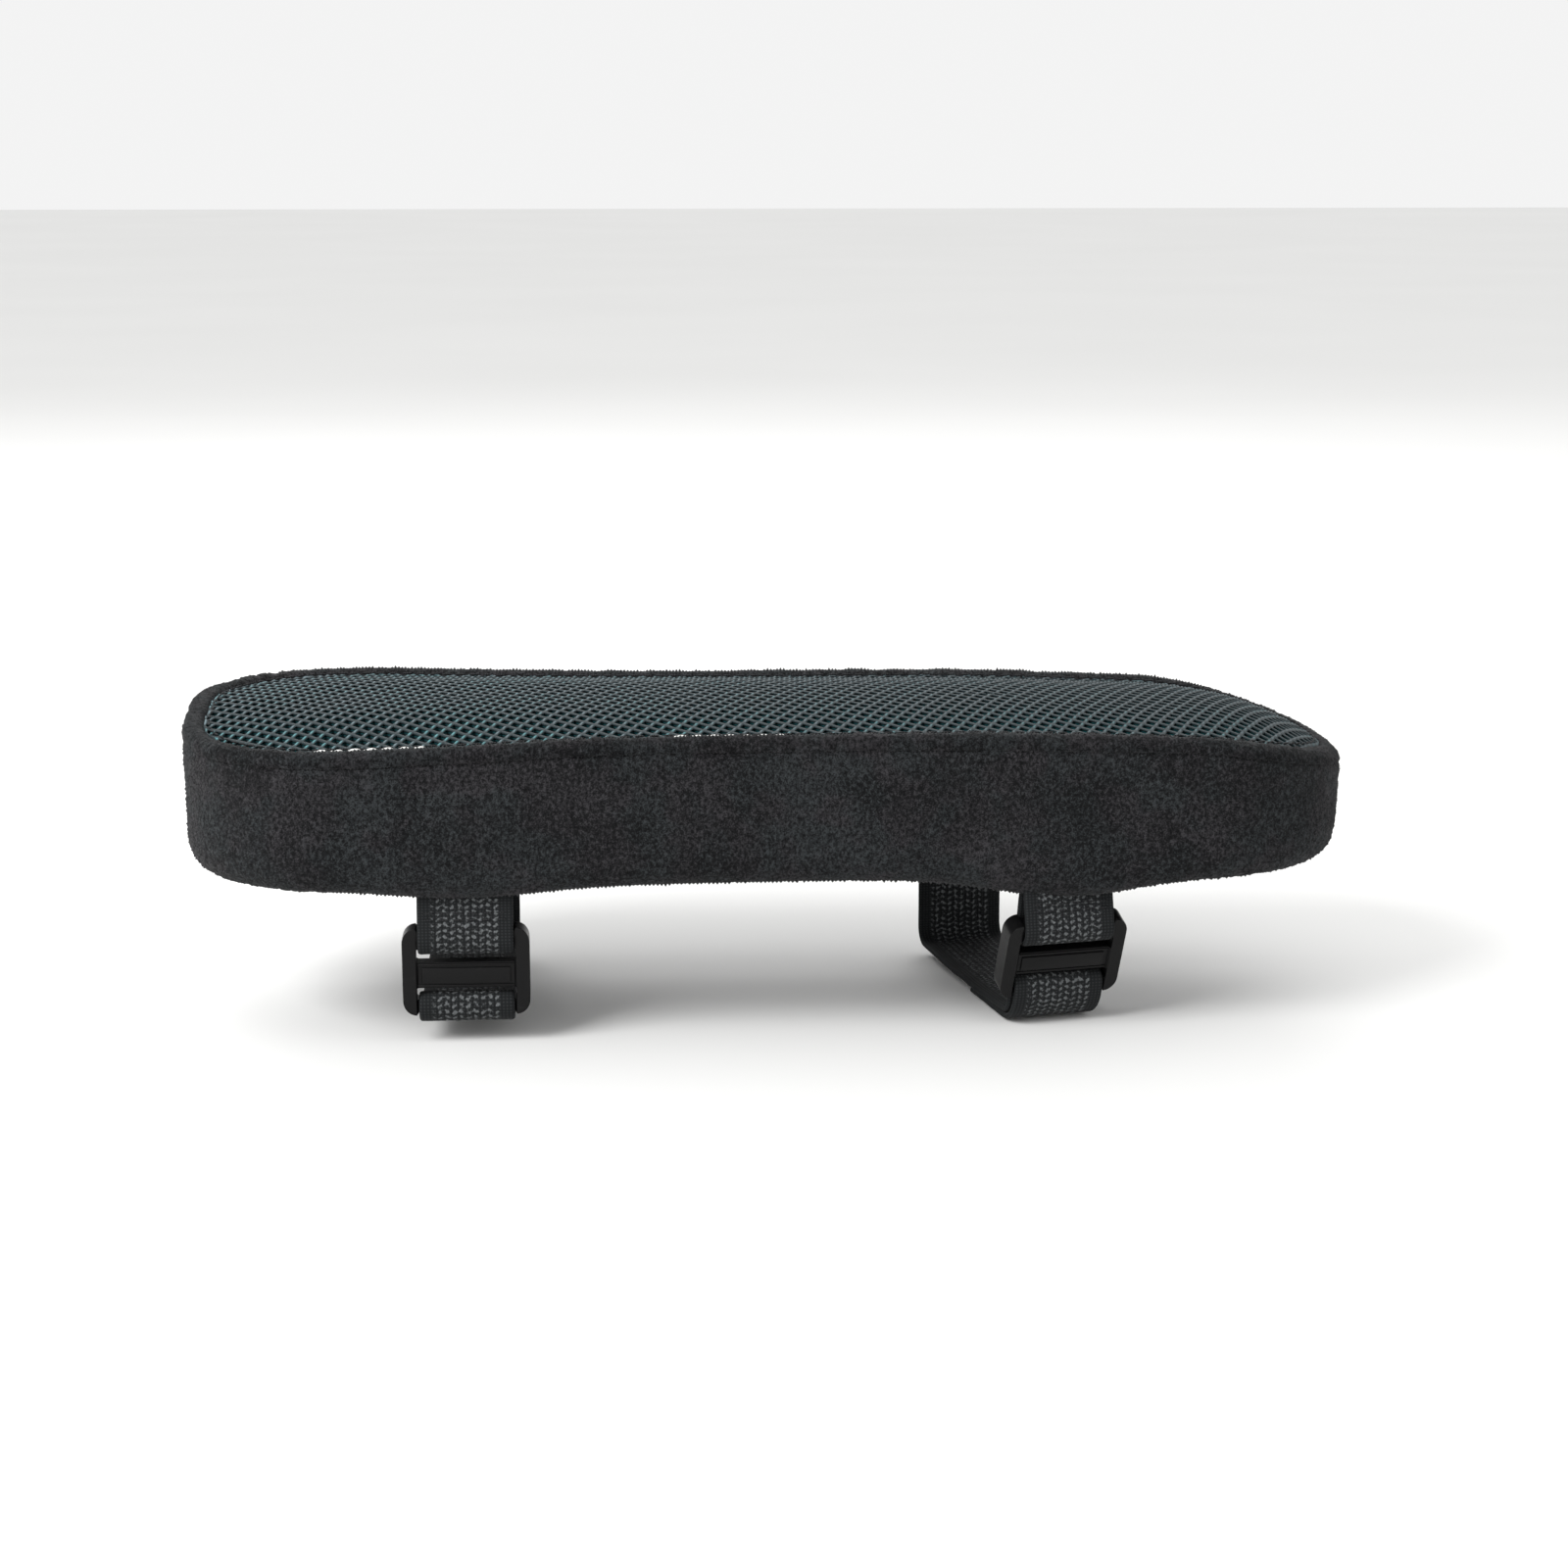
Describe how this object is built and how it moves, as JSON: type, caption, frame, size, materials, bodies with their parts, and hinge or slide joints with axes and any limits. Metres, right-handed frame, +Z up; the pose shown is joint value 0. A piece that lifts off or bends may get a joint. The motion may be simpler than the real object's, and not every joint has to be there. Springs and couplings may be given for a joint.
{
  "type": "chair armrest pad",
  "caption": "Strap-on foam armrest pad with rounded ends, a crowned mesh top over a coloured net, plush sides, a zipped cover, and elastic straps with slide buckles.",
  "frame": {"origin": "middle of the flat underside that rests on the chair arm", "axes": "+X along the pad to the backrest end, +Y to the side away from the buckles, +Z up"},
  "size_m": [0.25, 0.0843, 0.0667],
  "materials": {
    "foam": "open-cell soft foam",
    "sleeve": "thin white knit",
    "backing_net": "teal spacer net",
    "mesh": "black open spacer mesh",
    "plush": "charcoal short-pile plush",
    "thread": "twisted polyester thread",
    "webbing": "woven elastic webbing",
    "buckle": "satin moulded acetal",
    "zip_tape": "woven tape",
    "zip_teeth": "nylon coil",
    "zip_stop": "crimped stop",
    "zip_metal": "black enamel on die-cast metal"
  },
  "bodies": {
    "pad": {"foam_core": "foam", "inner_sleeve": "sleeve", "mesh_backing": "backing_net", "mesh_top": "mesh", "edge_roll": "plush", "side_band": "plush", "base_panel": "plush", "top_seam_thread": "thread", "base_seam_thread": "thread", "zip_tapes": "zip_tape", "zip_teeth_upper": "zip_teeth", "zip_teeth_lower": "zip_teeth", "zip_stops": "zip_stop", "front_tab": "webbing", "front_tab_stitch": "thread", "front_strap": "webbing", "front_strap_end": "webbing", "front_end_stitch": "thread", "front_anchor_stitch": "thread", "rear_tab": "webbing", "rear_tab_stitch": "thread", "rear_strap": "webbing", "rear_strap_end": "webbing", "rear_end_stitch": "thread", "rear_anchor_stitch": "thread"},
    "front_buckle": {"front_buckle": "buckle", "front_fold": "webbing"},
    "rear_buckle": {"rear_buckle": "buckle", "rear_fold": "webbing"},
    "slider": {"zip_slider": "zip_metal"},
    "pull": {"zip_pull": "zip_metal"}
  },
  "joints": [
    {"name": "front_buckle_swing", "type": "hinge", "parent": "pad", "child": "front_buckle", "pos_m": [-0.0645, -0.03464, -0.0104], "axis": [-0.9998, -0.0175, 0], "range_deg": [0, 12]},
    {"name": "rear_buckle_swing", "type": "hinge", "parent": "pad", "child": "rear_buckle", "pos_m": [0.062, -0.03289, -0.0104], "axis": [-0.9744, -0.225, 0], "range_deg": [0, 12]},
    {"name": "zip_slide", "type": "slide", "parent": "pad", "child": "slider", "axis": [-0.9999, 0.0138, 0], "range_m": [0, 0.134]},
    {"name": "zip_pull_swing", "type": "hinge", "parent": "slider", "child": "pull", "pos_m": [0.06701, 0.04202, 0.014], "axis": [0, 0, -1], "range_deg": [0, 172]}
  ]
}
